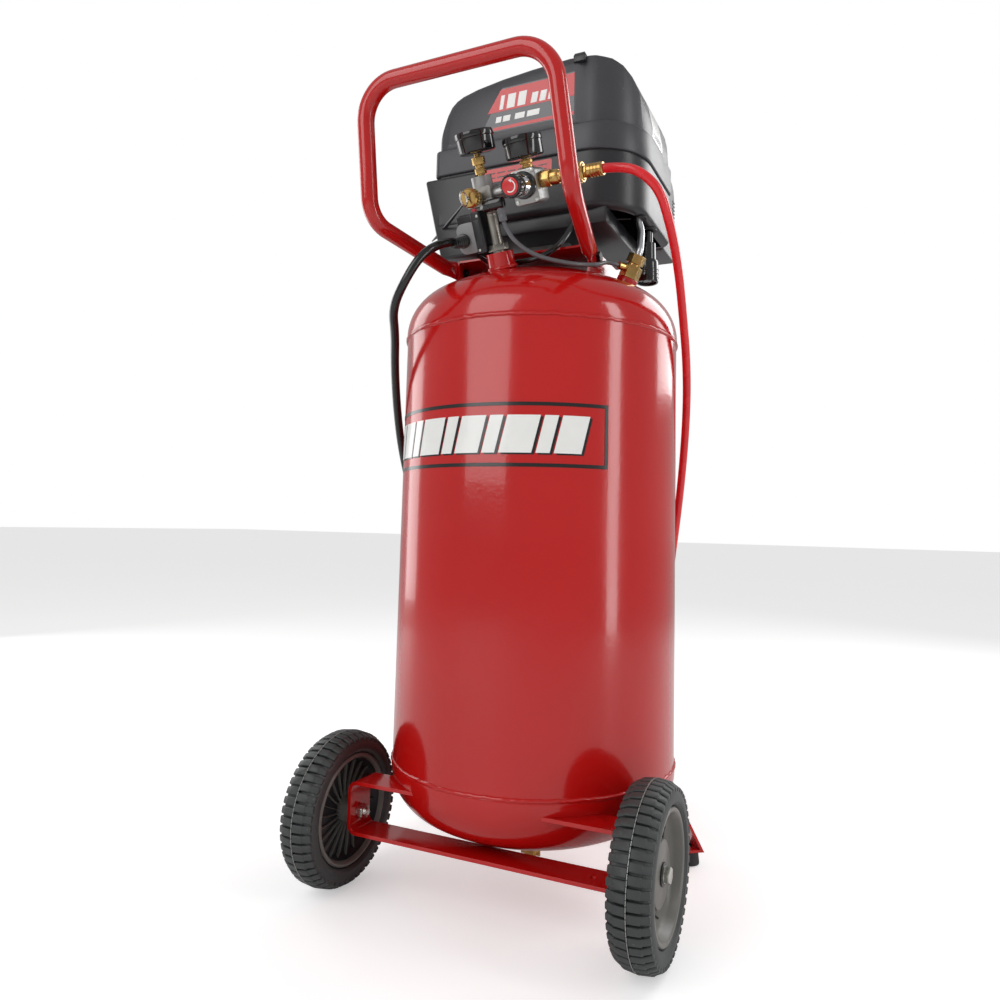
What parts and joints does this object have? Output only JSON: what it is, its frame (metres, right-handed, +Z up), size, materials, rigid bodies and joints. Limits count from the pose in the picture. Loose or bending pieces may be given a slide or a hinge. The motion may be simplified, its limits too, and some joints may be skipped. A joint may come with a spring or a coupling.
{
  "type": "upright air compressor",
  "caption": "Portable electric air compressor: upright tank on wheels with a push handle, shrouded oil-free pump, gauges, regulator and coiled air hose.",
  "frame": {"origin": "on the floor, below the middle of the machine's own bounds in X and Y, its hose and power cord left aside", "axes": "+Z up, -Y towards the user at the handle and gauges, +X to the user's right when facing the gauges"},
  "size_m": [0.4892, 0.7531, 1.187],
  "materials": {
    "red_paint": "gloss",
    "steel": "satin",
    "zinc_steel": "satin zinc plate",
    "black_steel": "satin",
    "cast_zinc": "as cast",
    "cast_aluminium": "as cast",
    "aluminium_tube": "satin",
    "chrome": "polished",
    "brass": "turned",
    "tyre_rubber": "matt",
    "foot_rubber": "matt",
    "hub_plastic": "satin",
    "shroud_charcoal": "satin",
    "skirt_black": "satin",
    "black_plastic": "gloss",
    "grey_plastic": "satin",
    "red_plastic": "gloss",
    "gauge_black": "gloss",
    "dial_white": "printed",
    "lens": "clear",
    "needle_black": "matt",
    "hose_red": "gloss",
    "cord_black": "gloss",
    "tube_grey": "satin",
    "windings": "laminated core with copper windings"
  },
  "bodies": {
    "tank": {"air_hose": "hose_red", "air_hose_coil": "hose_red", "axle_bolts": "zinc_steel", "axle_strap": "red_paint", "brass_fittings": "brass", "check_valve": "brass", "cord_gland": "black_plastic", "coupler_body": "brass", "cylinder_head": "cast_aluminium", "foot_brackets": "red_paint", "frame_bolts": "black_steel", "gauge_cases": "gauge_black", "gauge_dials": "dial_white", "gauge_lenses": "lens", "handle_tube": "red_paint", "hose_coupler": "brass", "hose_plug": "brass", "intake_filter": "black_plastic", "manifold": "cast_zinc", "motor_lead": "cord_black", "motor_stator": "windings", "power_cord": "cord_black", "power_cord_coil": "cord_black", "power_plug": "black_plastic", "pump_cylinder": "cast_aluminium", "pump_frame": "cast_aluminium", "rear_cover": "shroud_charcoal", "regulator_body": "cast_zinc", "regulator_bonnet": "chrome", "relief_valve": "brass", "riser_pipe": "zinc_steel", "rubber_feet": "foot_rubber", "saddle_plate": "red_paint", "shaft_bearings": "steel", "shroud_latch": "skirt_black", "shroud_skirt": "skirt_black", "shroud_upper": "shroud_charcoal", "switch_body": "black_plastic", "switch_plate": "grey_plastic", "tank_bungs": "red_paint", "tank_heads": "red_paint", "tank_shell": "red_paint", "transfer_tube": "aluminium_tube", "unloader_tube": "tube_grey", "unloader_valve": "black_plastic"},
    "wheel_left": {"tyre_left": "tyre_rubber", "hub_left": "hub_plastic"},
    "wheel_right": {"tyre_right": "tyre_rubber", "hub_right": "hub_plastic"},
    "pressure_knob": {"regulator_knob": "black_plastic", "knob_cap": "red_plastic"},
    "relief_pull": {"relief_ring": "zinc_steel"},
    "quick_sleeve": {"coupler_sleeve": "brass"},
    "drain_handle": {"drain_knob": "brass"},
    "power_lever": {"switch_lever": "red_plastic"},
    "rotor": {"motor_rotor": "steel", "cooling_fan": "black_plastic"},
    "piston": {"piston_rod": "cast_aluminium"},
    "tank_needle": {"needle_tank": "needle_black"},
    "outlet_needle": {"needle_outlet": "needle_black"}
  },
  "joints": [
    {"name": "wheel_left_spin", "type": "hinge", "parent": "tank", "child": "wheel_left", "pos_m": [-0.2196, -0.119, 0.1016], "axis": [1, 0, 0], "continuous": true},
    {"name": "wheel_right_spin", "type": "hinge", "parent": "tank", "child": "wheel_right", "pos_m": [0.2196, -0.119, 0.1016], "axis": [1, 0, 0], "continuous": true},
    {"name": "pressure_knob_turn", "type": "hinge", "parent": "tank", "child": "pressure_knob", "pos_m": [0.04995, -0.17889, 0.92264], "axis": [0, -0.9116, -0.4112], "range_deg": [0, 1440]},
    {"name": "relief_ring_pull", "type": "slide", "parent": "tank", "child": "relief_pull", "axis": [0, -0.9116, -0.4112], "range_m": [0, 0.004], "stiffness_N_per_m": 2000, "springref_m": -0.003},
    {"name": "coupler_sleeve_slide", "type": "slide", "parent": "tank", "child": "quick_sleeve", "axis": [-1, 0, 0], "range_m": [0, 0.005], "stiffness_N_per_m": 2000, "springref_m": -0.003},
    {"name": "drain_knob_turn", "type": "hinge", "parent": "tank", "child": "drain_handle", "pos_m": [0, 0.039, 0.027], "axis": [0, 0, -1], "range_deg": [0, 360]},
    {"name": "switch_lever_throw", "type": "hinge", "parent": "tank", "child": "power_lever", "pos_m": [-0.04732, -0.0969, 0.92816], "axis": [0, 0.9116, 0.4112], "range_deg": [-35, 0]},
    {"name": "rotor_spin", "type": "hinge", "parent": "tank", "child": "rotor", "pos_m": [0, 0.039, 0.985], "axis": [0, 1, 0], "continuous": true},
    {"name": "piston_stroke", "type": "slide", "parent": "tank", "child": "piston", "axis": [0, 0, 1], "range_m": [-0.01, 0.01]},
    {"name": "tank_needle_turn", "type": "hinge", "parent": "tank", "child": "tank_needle", "pos_m": [-0.0192, -0.15896, 1.01223], "axis": [0.068, 0.4102, -0.9095], "range_deg": [0, 270]},
    {"name": "outlet_needle_turn", "type": "hinge", "parent": "tank", "child": "outlet_needle", "pos_m": [0.04814, -0.15178, 0.99631], "axis": [0.068, 0.4102, -0.9095], "range_deg": [0, 270]}
  ]
}
